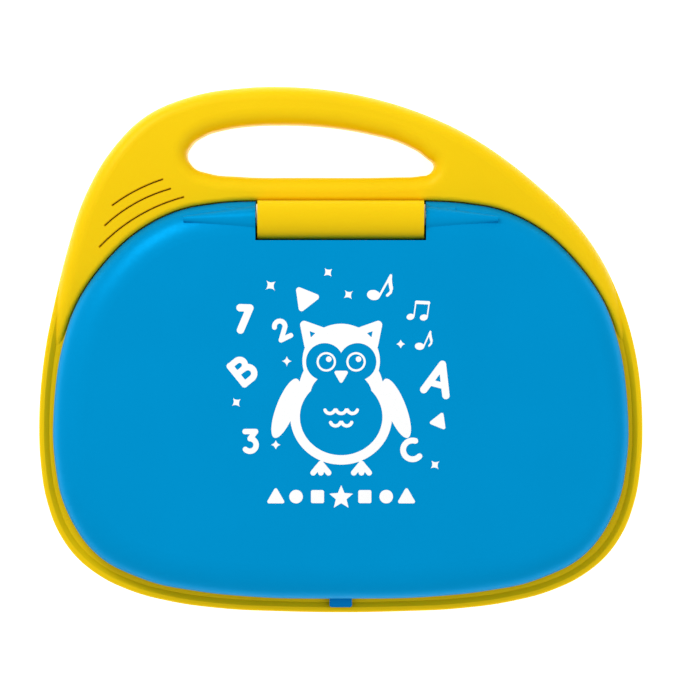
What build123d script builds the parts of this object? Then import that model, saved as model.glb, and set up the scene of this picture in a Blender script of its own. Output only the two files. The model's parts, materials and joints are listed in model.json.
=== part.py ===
"""Toy laptop computer with a moulded carrying handle, closed as it is carried.

Frame: millimetres, +Z up, +Y towards the handle, +X to the right of a child facing the keys.
The origin is at the centre of the bounding box, on the surface that the rubber feet stand on.
The base is a clam shell of two halves. The lid is a second clam shell on a steel hinge rod.
"""

from build123d import *
import os

os.makedirs("parts", exist_ok=True)

# ---------------------------------------------------------------- base shells
WALL = 2.4                 # moulded wall of the base
BASE_BOTTOM = 1.5          # the rubber feet hold the base this far off the table
PARTING = 16.0             # plane where the two base halves meet
DECK_TOP = 27.0            # keyboard deck, and the gutter round the lid
DECK_UNDER = DECK_TOP - WALL
FLOOR_TOP = BASE_BOTTOM + WALL
LIP_TOP = 28.8             # raised lip round the front and sides
LIP_WIDTH = 2.3            # across the lip's flat top and its rounded outer edge
LIP_FOOT = 4.6             # the lip's inner side slopes down to the gutter here
LIP_ROUND = 1.3            # outer edge of the lip
HUMP_ROUND = 6.5           # rounding of the handle and shoulders
WELL_ROUND = 2.0           # where the shoulders turn down to the lid
WELL_ROUND_FRONT = 4.0     # the shoulders' rounding towards the lid starts behind here
BOTTOM_ROUND = 4.5
LIP_REAR = 46.0            # the lip has run into the shoulders here
HUMP_ROOT = PARTING + 0.2
HUMP_WALL, HUMP_HOLE_WALL, HUMP_ROOF = 6.0, 4.5, 2.6
CLEAR_OF_ALL = 60.0        # height above every piece, for cutting through
FAR = 300.0                # width beyond every piece, for cutting across

# Outlines seen from above. The front half is symmetrical, and the handle leans left.
BASE_OUTLINE = (
    (0, -117.6), (25, -117.2), (51.4, -116), (74, -113.1), (92.5, -108.4), (107.5, -101.4),
    (118.7, -92.2), (126.4, -81), (131.4, -67.2), (134.2, -48.8), (134.6, -28), (131.3, 0),
    (124.8, 22), (115.2, 42), (102.4, 59),
    (87.4, 73.3), (71.9, 85.7), (55.5, 96.2), (38, 104.4), (19.5, 110.6), (-0.5, 114.9),
    (-20.6, 116.9), (-42.4, 116.6), (-65.3, 113.1), (-87.1, 103.8), (-103.6, 86.9),
    (-114.9, 66.3), (-122, 44.4), (-127.4, 22.5), (-131.9, 0), (-134.6, -28), (-134.2, -48.8),
    (-131.4, -67.2), (-126.4, -81), (-118.7, -92.2), (-107.5, -101.4), (-92.5, -108.4),
    (-74, -113.1), (-51.4, -116), (-25, -117.2),
)
HOLE_OUTLINE = (
    (-25, 100.1), (-5, 99), (11.3, 96.4), (27.8, 91.8), (37.2, 86.4), (41.5, 81.3), (39.7, 78.3),
    (34.3, 77.0), (24, 76.6), (-15, 76.4), (-45, 76.8), (-58, 78.1), (-65.8, 81.2), (-68.6, 86.7),
    (-66.3, 91.4), (-60.5, 95.4), (-51, 98.2), (-39.5, 99.7),
)
# Side profiles as (y, z): the arc along the shoulders and handle, and the rising underside.
HUMP_TOP = ((-10.0, 23.8), (68.0, 36.2), (125.0, 30.6))
UNDERSIDE = ((58, BASE_BOTTOM), (92, 5.0), (125, 11.0))
# Sound slots over the speaker: grooves along arcs, with a narrower slit through their floors.
SLOT_WIDTH, SLOT_DEPTH = 1.1, 1.0
SLIT_WIDTH = 0.45
SOUND_SLOTS = (
    ((-101.5, 64.1), (-91.3, 70.5), (-79.4, 75.5)),
    ((-104.9, 55.1), (-92.0, 64.6), (-75.9, 71.3)),
    ((-107.3, 45.6), (-91.5, 58.4), (-70.1, 67.6)),
)

# ---------------------------------------------------------------- hinge
HINGE_Y, HINGE_Z = 59.5, 38.0
BARREL_RISE, BARREL_DEPTH = 9.0, 10.7   # half height and half depth of its oval section
BARREL_HALF = 37.0
BARREL_REAR = 66.0
BARREL_WALL = 2.0
BARREL_CAP = 4.0           # thickness of the ends and ribs that hold the rod
BARREL_ROUND = 4.0
BARREL_RIBS = (-35.0, -12.0, 12.0, 35.0)
BARREL_WEB_TOP = 31.0      # of the low webs that tie the screw posts to the barrel
ROD_RADIUS, ROD_HALF = 2.0, 50.0
ROD_BORE = ROD_RADIUS + 0.05
WASHER_INNER, WASHER_OUTER = 37.05, 37.6
WASHER_RADIUS = 5.0

# ---------------------------------------------------------------- lid
LID_GAP = 0.45             # between the lid and the shoulders
LID_WALL = 2.2
LID_BOTTOM = 27.6
LID_APEX = 46.5
LID_CENTRE_Y = -25.0
LID_CROWN_RADIUS = 1065.0  # of the top, before it is squashed
LID_EDGE_WIDTH = 16.0      # plan width of the rounded border
LID_SQUASH = 0.66          # the border is this much flatter than a round one
LID_REAR_HALF, LID_REAR_Y = 37.5, 65.7
LID_HALF_OUTLINE = (
    (0, -111.2), (40.1, -110.3), (62.4, -108.1), (86.5, -103.1), (108.9, -91.4),
    (122.7, -70.8), (127.8, -46.5), (127.6, -22.5), (124.4, 0), (117.3, 20.7),
    (105.2, 38.3), (90.5, 52.2), (73, 61.3), (54.4, 64.9), (LID_REAR_HALF, LID_REAR_Y),
)
CUTOUT_HALF, CUTOUT_FRONT = 37.9, 48.3
KNUCKLE_CENTRE = (57.6, 39.0)   # y and z of its wide end, a little before and above the rod
KNUCKLE_RADIUS = 6.2
KNUCKLE_TIP = (70.0, 57.8, 41.4)
KNUCKLE_TIP_RADIUS = 1.2
SOCKET_RADIUS = 3.9        # round boss that holds each end of the rod
SOCKET_END = 51.0
REAR_SWING = 10.2          # the lid's rear lower edge turns inside this radius

PANEL_FACE, PANEL_BACK = 32.0, 34.0
PANEL_INSET = LID_WALL + 0.3
PANEL_STEP, PANEL_STEP_INSET = 32.6, 1.6   # its upper edge is drawn in under the lid's curve
PANEL_RIM_BOTTOM = 28.3
PANEL_RIM_WALL = 2.2
PANEL_REAR = 45.8
PANEL_KNUCKLE_NOTCH = (53.0, 52.5)
TAB_HALF, TAB_FRONT, TAB_BACK = 5.0, -115.1, -106.5
TAB_BOTTOM, TAB_TOP = 28.9, 31.2
TAB_GAP = 0.3
CUP_RADIUS, CUP_SEAT, CUP_TOP = 4.6, 35.0, 36.5
LID_SCREWS = ((-100, -72), (100, -72), (-102, 8), (102, 8), (0, -92))
LID_SCREW_END, LID_PILOT_END = 40.6, 41.0

SCREEN_Y = -30.0
SCREEN_OPEN = (78.0, 46.0)
WINDOW_SIZE = (84.0, 52.0, 1.2)
DISPLAY_SIZE = (80.0, 48.0, 3.0)
DISPLAY_BOARD = (98.0, 58.0, 1.6)
DISPLAY_POSTS = (44.7, 25.0)
DISPLAY_GAP = 0.2

# ---------------------------------------------------------------- keys
KEY_PITCH = 20.0
KEY_SIZE, KEY_CORNER = (17.0, 15.0), 3.2
KEY_TOP, KEY_BOTTOM = 30.6, 22.9
KEY_WALL, KEY_ROOF = 1.5, 1.6
KEY_ROUND = 1.1
KEY_CLEARANCE = 0.4
FLANGE, FLANGE_THICK = 0.7, 1.2
POST_RADIUS, POST_BOTTOM = 2.5, 19.6
BUTTON_RADIUS = 7.0
LETTER_ROWS = (("qwertyuiop", -33.0), ("asdfghjkl", -53.0), ("zxcvbnm", -73.0))
ARROW_BUTTONS = (("back", (-86.0, -73.0)), ("next", (86.0, -73.0)))
MODE_BUTTONS = (
    ("play", (-48.0, -11.0)), ("music", (-16.0, -11.0)),
    ("star", (16.0, -11.0)), ("repeat", (48.0, -11.0)),
)
SWITCH_X, SWITCH_Y = 84.0, -11.0
SWITCH_TRAVEL = 5.0
SWITCH_SLOT = (10.0, 4.4)
SWITCH_BODY = (18.0, 8.0, 6.2)
KNOB_CAP, KNOB_STEM = (9.0, 8.0), (4.0, 3.4)
KNOB_BOTTOM, KNOB_SEAT, KNOB_TOP = 21.8, 27.3, 30.2

# ---------------------------------------------------------------- electronics and power
BOARD_BOTTOM, BOARD_THICK = 13.6, 1.6
BOARD_TOP = BOARD_BOTTOM + BOARD_THICK
BOARD_X, BOARD_FRONT, BOARD_REAR = 112.0, -88.0, 0.0
BOARD_POSTS = ((-107, -80), (107, -80), (-107, -6), (107, -6), (0, -85))
SOUND_CHIP, CHIP_RADIUS, CHIP_HEIGHT = (-78.0, -6.0), 6.0, 1.8   # chip under a round blob
MEMBRANE_THICK = 1.2
MEMBRANE_ZONES = ((100.0, -81.0, -24.0), (57.0, -24.0, -3.0))   # half width, front, rear
DOME_TOP, DOME_RADIUS, DOME_SLOPE = 17.3, 5.0, 45.0

SPEAKER_X, SPEAKER_Y = -91.0, 60.0
SPEAKER_RADIUS, SPEAKER_SEAT = 18.0, 17.6
SEAT_INNER, SEAT_OUTER = 15.6, 17.8
RETAINER_Z = (19.4, 21.0)
RETAINER_INNER, RETAINER_OUTER = 15.8, 19.6
SPEAKER_POSTS = ((-69.4, 60), (-91, 38.4))

CELL_RADIUS, CELL_LENGTH, CELL_PITCH, CELL_Z = 7.1, 49.0, 15.6, 10.9
CELL_TIP, CELL_TIP_RADIUS = 1.2, 2.7
CONTACT_HALF, CONTACT_THICK = (5.5, 6.0), 0.5
SPRING_TURNS, SPRING_RADIUS, SPRING_TAPER, SPRING_WIDTH = 4, 5.0, 0.7, 1.1
BOX_HALF_X, BOX_Y, BOX_HALF_Y = 28.5, 32.0, 24.0
BOX_ROOF, BOX_WALL = 18.3, 1.5
DOOR_LEFT, DOOR_RIGHT, DOOR_HALF_Y = -33.0, 42.0, 28.0
DOOR_THICK, DOOR_GAP = 2.0, 0.3
DOOR_PAD = 5.6             # height of the thickened floor that the door closes against
DOOR_TABS = (18.0, 46.0)
DOOR_TAB_HALF, DOOR_TAB_Z = 4.0, (2.4, 3.4)
DOOR_RIB_HALF = (18.0, 0.8)
DOOR_SCREW_X = 37.0
DOOR_BOSS_TOP, DOOR_PILOT_END, DOOR_SCREW_END = 13.0, 11.0, 10.0

# ---------------------------------------------------------------- fasteners, feet, bumpers
SCREW_RADIUS, HEAD_RADIUS, HEAD_HEIGHT = 1.4, 2.9, 2.0
PILOT_RADIUS, CLEARANCE_RADIUS, COUNTERBORE_RADIUS = 1.45, 1.6, 3.3
BOSS_RADIUS = 4.0
SMALL_POST = 3.2
FIT_GAP = 0.3              # round pieces that sit in a recess of their own shape
BOARD_SCREW_END, SPEAKER_SCREW_END = 7.0, 12.0
HEAD_SEAT = 9.0
LONG_SCREW_END, LONG_PILOT_END = 21.5, 22.0
HOUSING_SCREWS = (
    (-119, -50), (119, -50), (-70, -101), (70, -101), (-117, 6), (117, 6),
    (97, 38), (58, 80), (-84, 91),
)
BARREL_SCREWS = ((-25, 61), (25, 61))
BARREL_SCREW_END = 31.5
FEET = ((-92, -84), (92, -84), (-84, 20), (86, 36))
FOOT_RADIUS, FOOT_THICK, FOOT_SEAT = 6.0, 2.5, 1.0
BUMPERS = ((-119.9, -69.8), (119.9, -69.8), (-62.1, -105.4), (62.1, -105.4))
BUMPER_RADIUS, BUMPER_BOTTOM, BUMPER_TOP = 2.2, 26.0, 27.5


# ---------------------------------------------------------------- helpers
def write(part, name):
    """Labels a finished piece and writes it to its own file."""
    part.label = name
    export_step(part, f"parts/{name}.step")


def tangent_at(before, point, after):
    """Direction, at the middle point, of the circle through three points."""
    arriving, leaving = point - before, after - point
    return (arriving * (leaving.length / arriving.length)
            + leaving * (arriving.length / leaving.length)).normalized()


def arc_pair(start, start_way, end, end_way):
    """Two arcs that join smoothly, from one point and direction to another."""
    chord = end - start
    turn = 2 * (1 - start_way.dot(end_way))
    along = chord.dot(start_way + end_way)
    if turn < 1e-6:
        reach = chord.dot(chord) / (2 * along)
    else:
        reach = (-along + (along**2 + 2 * turn * chord.dot(chord) / 2) ** 0.5) / turn
    middle = (start + start_way * reach + end - end_way * reach) / 2
    TangentArc(start, middle, tangent=start_way)
    TangentArc(end, middle, tangent=-end_way)


def arc_loop(points):
    """A closed smooth outline of arcs through the points."""
    corners = [Vector(*point) for point in points]
    count = len(corners)
    ways = [tangent_at(corners[i - 1], corners[i], corners[(i + 1) % count]) for i in range(count)]
    for i in range(count):
        arc_pair(corners[i], ways[i], corners[(i + 1) % count], ways[(i + 1) % count])


def base_face(inset=0.0):
    """The base's plan, drawn in by inset all round."""
    with BuildSketch() as plan:
        with BuildLine():
            arc_loop(BASE_OUTLINE)
        make_face()
        if inset:
            offset(amount=-inset)
    return plan.sketch


def hole_face(outset=0.0):
    """The handle hole's plan, enlarged by outset all round."""
    with BuildSketch() as plan:
        with BuildLine():
            arc_loop(HOLE_OUTLINE)
        make_face()
        if outset:
            offset(amount=outset)
    return plan.sketch


def lid_face(grow=0.0):
    """The lid's plan, enlarged by grow, or drawn in where grow is negative."""
    right = [Vector(*point) for point in LID_HALF_OUTLINE]
    middle_ways = [tangent_at(*right[i - 1:i + 2]) for i in range(1, len(right) - 1)]
    ways = [Vector(1, 0)] + middle_ways + [Vector(-1, 0)]
    with BuildSketch() as plan:
        with BuildLine():
            for i in range(len(right) - 1):
                arc_pair(right[i], ways[i], right[i + 1], ways[i + 1])
            mirror(about=Plane.YZ)
            Line((LID_REAR_HALF, LID_REAR_Y), (-LID_REAR_HALF, LID_REAR_Y))
        make_face()
        if grow:
            offset(amount=grow)
    return plan.sketch


def prism(face, bottom, top, mode=Mode.ADD):
    """Extrudes a plan between two heights into the part being built."""
    with BuildSketch(Plane.XY.offset(bottom)) as section:
        add(face)
    extrude(section.sketch, amount=top - bottom, mode=mode)


def discs(points, radius, bottom, top, mode=Mode.ADD):
    """Upright round posts or holes at the given points."""
    with BuildSketch(Plane.XY.offset(bottom)) as section:
        with Locations(*points):
            Circle(radius)
    extrude(section.sketch, amount=top - bottom, mode=mode)


def slabs(points, size, corner, bottom, top, mode=Mode.ADD):
    """Upright blocks or openings with rounded corners at the given points."""
    with BuildSketch(Plane.XY.offset(bottom)) as section:
        with Locations(*points):
            RectangleRounded(*size, corner)
    extrude(section.sketch, amount=top - bottom, mode=mode)


def block(x_range, y_range, z_range, mode=Mode.ADD):
    """A plain box between two corners."""
    size = [high - low for low, high in (x_range, y_range, z_range)]
    with Locations((x_range[0], y_range[0], z_range[0])):
        Box(*size, align=Align.MIN, mode=mode)


def rim_edges(faces):
    """The edges round a group of faces, without those between two of the faces."""
    found = [edge for face in faces for edge in face.edges()]
    return [edge for edge in found if sum(edge.is_same(other) for other in found) == 1]


def ring(centre, outer, inner, bottom, top, mode=Mode.ADD):
    """An upright round wall."""
    with BuildSketch(Plane.XY.offset(bottom)) as section:
        with Locations(centre):
            Circle(outer)
            Circle(inner, mode=Mode.SUBTRACT)
    extrude(section.sketch, amount=top - bottom, mode=mode)


def screws(points, seat, end):
    """Pan head screws with their heads below seat, pointing up."""
    discs(points, HEAD_RADIUS, seat - HEAD_HEIGHT, seat)
    discs(points, SCREW_RADIUS, seat, end)


def dropped_screws(points, seat, end):
    """Pan head screws with their heads above seat, pointing down."""
    discs(points, HEAD_RADIUS, seat, seat + HEAD_HEIGHT)
    discs(points, SCREW_RADIUS, end, seat)


# ---------------------------------------------------------------- base, upper shell
def hump_top(drop):
    """The arc along the shoulders and handle, lowered by drop."""
    return [(y, z - drop) for y, z in HUMP_TOP]


def under_arc(points, bottom):
    """The area between an arc through three points and a level below it."""
    with BuildSketch(Plane.YZ) as section:
        with BuildLine():
            ThreePointArc(*points)
            Polyline(points[2], (points[2][0], bottom), (points[0][0], bottom), points[0])
        make_face()
    return section.sketch


def slots_face(width):
    """The plan of the sound slots at the given width."""
    with BuildSketch() as plan:
        for start, middle, end in SOUND_SLOTS:
            with BuildLine() as slot_line:
                ThreePointArc(start, middle, end)
            SlotArc(slot_line.edges()[0], width)
    return plan.sketch


def key_points():
    """Name and centre of every letter key."""
    found = []
    for letters, row_y in LETTER_ROWS:
        for place, letter in enumerate(letters):
            found.append((f"key_{letter}", ((place - (len(letters) - 1) / 2) * KEY_PITCH, row_y)))
    return found


letter_points = [point for _, point in key_points()]
button_points = [point for _, point in MODE_BUTTONS + ARROW_BUTTONS]

with BuildPart() as deck_and_lip:
    prism(base_face(), PARTING, LIP_TOP)
    fillet(deck_and_lip.edges().group_by(Axis.Z)[-1], LIP_ROUND)
    with BuildSketch(Plane.XY.offset(DECK_TOP)) as gutter:
        add(base_face(LIP_FOOT))
    with BuildSketch(Plane.XY.offset(LIP_TOP)) as brim:
        add(base_face(LIP_WIDTH))
    loft([gutter.sketch, brim.sketch], ruled=True, mode=Mode.SUBTRACT)
    block((-FAR, FAR), (LIP_REAR, FAR), (DECK_TOP, CLEAR_OF_ALL), Mode.SUBTRACT)
    prism(hole_face(), PARTING - 1, CLEAR_OF_ALL, Mode.SUBTRACT)
    opening = [side + 2 * KEY_CLEARANCE for side in KEY_SIZE]
    slabs(letter_points, opening, KEY_CORNER + KEY_CLEARANCE, DECK_UNDER - 1, DECK_TOP + 1, Mode.SUBTRACT)
    discs(button_points, BUTTON_RADIUS + KEY_CLEARANCE, DECK_UNDER - 1, DECK_TOP + 1, Mode.SUBTRACT)
    slabs([(SWITCH_X, SWITCH_Y)], SWITCH_SLOT, 1.0, DECK_UNDER - 1, DECK_TOP + 1, Mode.SUBTRACT)
    discs(BARREL_SCREWS, CLEARANCE_RADIUS, DECK_UNDER - 1, DECK_TOP + 1, Mode.SUBTRACT)
    discs(BUMPERS, BUMPER_RADIUS + 0.05, BUMPER_BOTTOM, DECK_TOP + 1, Mode.SUBTRACT)

with BuildPart() as hump:
    with BuildSketch(Plane.XY.offset(HUMP_ROOT)):
        add(base_face())
        add(hole_face(), mode=Mode.SUBTRACT)
    extrude(amount=CLEAR_OF_ALL)
    extrude(under_arc(hump_top(0), PARTING), amount=FAR, both=True, mode=Mode.INTERSECT)
    crest = hump.faces().filter_by(lambda face: face.normal_at(None).Z > 0.7).sort_by(Axis.Z)[-1]
    behind_front = crest.edges().filter_by(lambda edge: edge.bounding_box().max.Y > HUMP_TOP[0][0] + 1)
    fillet(behind_front, HUMP_ROUND)
    prism(lid_face(LID_GAP), PARTING, CLEAR_OF_ALL, Mode.SUBTRACT)
    well_edges = hump.edges(Select.LAST).filter_by(
        lambda edge: edge.bounding_box().min.Z > HUMP_ROOT + 1 and edge.center().Y > WELL_ROUND_FRONT)
    fillet(well_edges, WELL_ROUND)

with BuildPart() as deck_cavity:
    prism(base_face(WALL), PARTING - 1, DECK_UNDER)
    prism(hole_face(WALL), PARTING - 2, CLEAR_OF_ALL, Mode.SUBTRACT)
    discs(HOUSING_SCREWS, BOSS_RADIUS, PARTING - 2, CLEAR_OF_ALL, Mode.SUBTRACT)

with BuildPart() as hump_cavity:
    prism(base_face(HUMP_WALL), DECK_UNDER - 0.5, CLEAR_OF_ALL)
    prism(hole_face(HUMP_HOLE_WALL), PARTING, CLEAR_OF_ALL, Mode.SUBTRACT)
    prism(lid_face(LID_GAP + WALL), PARTING, CLEAR_OF_ALL, Mode.SUBTRACT)
    discs(HOUSING_SCREWS, BOSS_RADIUS, PARTING, CLEAR_OF_ALL, Mode.SUBTRACT)
    extrude(under_arc(hump_top(HUMP_ROOF), PARTING), amount=FAR, both=True, mode=Mode.INTERSECT)

with BuildPart() as sound_grooves:
    prism(slots_face(SLOT_WIDTH), DECK_TOP, CLEAR_OF_ALL)
    extrude(under_arc(hump_top(SLOT_DEPTH), PARTING), amount=FAR, both=True, mode=Mode.SUBTRACT)

with BuildPart() as base_upper_shell:
    add(deck_and_lip.part)
    add(hump.part)
    add(deck_cavity.part, mode=Mode.SUBTRACT)
    add(hump_cavity.part, mode=Mode.SUBTRACT)
    discs(HOUSING_SCREWS, PILOT_RADIUS, PARTING - 1, LONG_PILOT_END, Mode.SUBTRACT)
    add(sound_grooves.part, mode=Mode.SUBTRACT)
    prism(slots_face(SLIT_WIDTH), DECK_TOP, CLEAR_OF_ALL, Mode.SUBTRACT)
write(base_upper_shell.part, "base_upper_shell")


# ---------------------------------------------------------------- base, lower shell
def lower_solid(inset):
    """Everything that the lower half encloses, drawn in by inset."""
    low = [(y, z + inset) for y, z in UNDERSIDE]
    with BuildPart() as solid:
        with BuildSketch(Plane.XY.offset(BASE_BOTTOM)):
            add(base_face(inset))
            add(hole_face(inset), mode=Mode.SUBTRACT)
        extrude(amount=PARTING - BASE_BOTTOM + inset)
        with BuildSketch(Plane.YZ):
            with BuildLine():
                Line((-FAR, low[0][1]), low[0])
                Spline(*low, tangents=[(1, 0), (1, 0.2)])
                Polyline(low[-1], (low[-1][0], CLEAR_OF_ALL), (-FAR, CLEAR_OF_ALL), (-FAR, low[0][1]))
            make_face()
        extrude(amount=FAR, both=True, mode=Mode.INTERSECT)
        if not inset:
            bottom = solid.faces().filter_by(lambda face: face.normal_at(None).Z < -0.7)
            fillet(rim_edges(bottom), BOTTOM_ROUND)
    return solid.part


def battery_box(grow):
    """The battery box's extents in X and in Y, enlarged by grow."""
    return ((-BOX_HALF_X - grow, BOX_HALF_X + grow),
            (BOX_Y - BOX_HALF_Y - grow, BOX_Y + BOX_HALF_Y + grow))


with BuildPart() as lower_cavity:
    add(lower_solid(WALL))
    discs(HOUSING_SCREWS, BOSS_RADIUS + 0.9, 0, CLEAR_OF_ALL, Mode.SUBTRACT)
    discs(BOARD_POSTS, SMALL_POST, 0, BOARD_BOTTOM, Mode.SUBTRACT)
    discs(SPEAKER_POSTS, SMALL_POST, 0, CLEAR_OF_ALL, Mode.SUBTRACT)
    ring((SPEAKER_X, SPEAKER_Y), SEAT_OUTER, SEAT_INNER, 0, SPEAKER_SEAT, Mode.SUBTRACT)
    # thickened floor round the battery door, its screw boss and the battery box
    block((DOOR_LEFT - 4, DOOR_RIGHT + 2), (BOX_Y - DOOR_HALF_Y - 2, BOX_Y + DOOR_HALF_Y + 2),
          (0, DOOR_PAD), Mode.SUBTRACT)
    discs([(DOOR_SCREW_X, BOX_Y)], BOSS_RADIUS, 0, DOOR_BOSS_TOP, Mode.SUBTRACT)
    block(*battery_box(BOX_WALL), (0, CLEAR_OF_ALL), Mode.SUBTRACT)

with BuildPart() as base_lower_shell:
    add(lower_solid(0))
    add(lower_cavity.part, mode=Mode.SUBTRACT)
    # the posts and walls that stand above the parting plane
    discs(SPEAKER_POSTS, SMALL_POST, PARTING, RETAINER_Z[0])
    ring((SPEAKER_X, SPEAKER_Y), SEAT_OUTER, SEAT_INNER, PARTING, SPEAKER_SEAT)
    block(*battery_box(BOX_WALL), (PARTING, BOX_ROOF + BOX_WALL))
    block(*battery_box(0), (0, BOX_ROOF), Mode.SUBTRACT)
    # recess for the door, with slots for its two tongues
    block((DOOR_LEFT - DOOR_GAP, DOOR_RIGHT + DOOR_GAP),
          (BOX_Y - DOOR_HALF_Y - DOOR_GAP, BOX_Y + DOOR_HALF_Y + DOOR_GAP),
          (0, BASE_BOTTOM + DOOR_THICK + 0.2), Mode.SUBTRACT)
    tab_low, tab_high = DOOR_TAB_Z
    for tab_y in DOOR_TABS:
        block((DOOR_LEFT - 3, DOOR_LEFT), (tab_y - DOOR_TAB_HALF - 0.4, tab_y + DOOR_TAB_HALF + 0.4),
              (tab_low - 0.1, tab_high + FIT_GAP), Mode.SUBTRACT)
    # screw holes and the seats of the feet
    discs([(DOOR_SCREW_X, BOX_Y)], PILOT_RADIUS, 0, DOOR_PILOT_END, Mode.SUBTRACT)
    discs(HOUSING_SCREWS, COUNTERBORE_RADIUS, 0, HEAD_SEAT, Mode.SUBTRACT)
    discs(HOUSING_SCREWS, CLEARANCE_RADIUS, HEAD_SEAT, PARTING + 1, Mode.SUBTRACT)
    discs(BOARD_POSTS, PILOT_RADIUS, BOARD_SCREW_END - 1, BOARD_BOTTOM + 1, Mode.SUBTRACT)
    discs(SPEAKER_POSTS, PILOT_RADIUS, SPEAKER_SCREW_END - 1, RETAINER_Z[0] + 1, Mode.SUBTRACT)
    discs(FEET, FOOT_RADIUS + 0.1, 0, BASE_BOTTOM + FOOT_SEAT, Mode.SUBTRACT)
write(base_lower_shell.part, "base_lower_shell")

with BuildPart() as rubber_feet:
    discs(FEET, FOOT_RADIUS, 0, FOOT_THICK)
    fillet(rubber_feet.edges().group_by(Axis.Z)[0], 0.5)
write(rubber_feet.part, "rubber_feet")

with BuildPart() as lid_bumpers:
    discs(BUMPERS, BUMPER_RADIUS, BUMPER_BOTTOM, BUMPER_TOP)
write(lid_bumpers.part, "lid_bumpers")

with BuildPart() as housing_screws:
    screws(HOUSING_SCREWS, HEAD_SEAT, LONG_SCREW_END)
write(housing_screws.part, "housing_screws")


# ---------------------------------------------------------------- hinge
def barrel_profile(inset, bottom):
    """The barrel's section at right angles to the rod."""
    depth = BARREL_DEPTH - inset
    with BuildSketch(Plane.YZ) as section:
        with Locations((HINGE_Y, HINGE_Z)):
            Ellipse(depth, BARREL_RISE - inset)
        with Locations((HINGE_Y, (bottom + HINGE_Z) / 2)):
            Rectangle(2 * depth, HINGE_Z - bottom)
        with Locations((BARREL_REAR - inset, 0)):
            Rectangle(FAR, FAR, align=(Align.MIN, Align.CENTER), mode=Mode.SUBTRACT)
    return section.sketch


with BuildPart() as hinge_barrel:
    extrude(barrel_profile(0, DECK_TOP), amount=BARREL_HALF, both=True)
    rear_edge = hinge_barrel.edges().filter_by(Axis.X).filter_by(
        lambda edge: edge.center().Y > BARREL_REAR - 0.1 and edge.center().Z > HINGE_Z)
    fillet(rear_edge, BARREL_ROUND)
    extrude(barrel_profile(BARREL_WALL, DECK_TOP), amount=BARREL_HALF, both=True, mode=Mode.SUBTRACT)
    for rib_x in BARREL_RIBS:
        rib_plane = Plane.YZ.offset(rib_x - BARREL_CAP / 2)
        with BuildSketch(rib_plane) as rib:
            with Locations((HINGE_Y, HINGE_Z)):
                Ellipse(BARREL_DEPTH - BARREL_WALL / 2, BARREL_RISE - BARREL_WALL / 2)
            with Locations((HINGE_Y, (DECK_TOP + HINGE_Z) / 2)):
                Rectangle(2 * BARREL_DEPTH - BARREL_WALL, HINGE_Z - DECK_TOP)
            with Locations((BARREL_REAR - BARREL_WALL / 2, 0)):
                Rectangle(FAR, FAR, align=(Align.MIN, Align.CENTER), mode=Mode.SUBTRACT)
            with Locations((HINGE_Y, HINGE_Z)):
                Circle(ROD_BORE, mode=Mode.SUBTRACT)
        extrude(rib.sketch, amount=BARREL_CAP)
    discs(BARREL_SCREWS, SMALL_POST, DECK_TOP, HINGE_Z - ROD_BORE - 1)
    for screw_x, _ in BARREL_SCREWS:
        block((screw_x - 1, screw_x + 1), (HINGE_Y - BARREL_DEPTH + 1, BARREL_REAR - 1),
              (DECK_TOP, BARREL_WEB_TOP))
    discs(BARREL_SCREWS, PILOT_RADIUS, DECK_TOP, BARREL_SCREW_END + 0.5, Mode.SUBTRACT)
write(hinge_barrel.part, "hinge_barrel")

rod_plane = Plane(origin=(0, HINGE_Y, HINGE_Z), x_dir=(0, 1, 0), z_dir=(1, 0, 0))

with BuildPart() as hinge_rod:
    with BuildSketch(rod_plane):
        Circle(ROD_RADIUS)
    extrude(amount=ROD_HALF, both=True)
    chamfer(hinge_rod.edges().filter_by(GeomType.CIRCLE), 0.4)
write(hinge_rod.part, "hinge_rod")

with BuildPart() as hinge_washers:
    for side in (-1, 1):
        near, far = side * WASHER_INNER, side * WASHER_OUTER
        with BuildSketch(rod_plane.offset(near)) as ring:
            Circle(WASHER_RADIUS)
            Circle(ROD_BORE, mode=Mode.SUBTRACT)
        extrude(ring.sketch, amount=far - near)
write(hinge_washers.part, "hinge_washers")


# ---------------------------------------------------------------- lid
def lid_solid(inset):
    """The lid's dome before it is squashed, drawn in by inset, standing on zero."""
    top = (LID_APEX - inset - LID_BOTTOM) / LID_SQUASH
    crown = LID_CROWN_RADIUS - inset
    with BuildPart() as dome:
        prism(lid_face(-inset), -1 if inset else 0, CLEAR_OF_ALL)
        with Locations((0, LID_CENTRE_Y, top - crown)):
            Sphere(crown, mode=Mode.INTERSECT)
        fillet(dome.faces().sort_by(Axis.Z)[-1].edges(), LID_EDGE_WIDTH - inset)
    return dome.part


def squashed(part):
    """Flattens a dome to its real height and sets it at the lid's lower edge."""
    with BuildPart() as flat:
        add(part)
        scale(by=(1, 1, LID_SQUASH))
    return flat.part.moved(Location((0, 0, LID_BOTTOM)))


lid_outer = lid_solid(0)
lid_height = (LID_APEX - LID_BOTTOM) / LID_SQUASH + 5

with BuildPart() as lid_space:
    add(lid_solid(LID_WALL))
    block((-CUTOUT_HALF - LID_WALL, CUTOUT_HALF + LID_WALL), (CUTOUT_FRONT - LID_WALL, FAR),
          (-5, lid_height), Mode.SUBTRACT)
    post_bottom = (CUP_TOP - LID_BOTTOM) / LID_SQUASH
    discs(LID_SCREWS, SMALL_POST, post_bottom, lid_height, Mode.SUBTRACT)

with BuildPart() as lid_dome:
    add(lid_outer)
    add(lid_space.part, mode=Mode.SUBTRACT)
    block((-CUTOUT_HALF, CUTOUT_HALF), (CUTOUT_FRONT, FAR), (-5, lid_height), Mode.SUBTRACT)
    discs(LID_SCREWS, PILOT_RADIUS, post_bottom - 1, (LID_PILOT_END - LID_BOTTOM) / LID_SQUASH, Mode.SUBTRACT)
    block((-TAB_HALF - TAB_GAP, TAB_HALF + TAB_GAP), (-FAR, TAB_BACK),
          (-5, (TAB_TOP + TAB_GAP - LID_BOTTOM) / LID_SQUASH), Mode.SUBTRACT)


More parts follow.
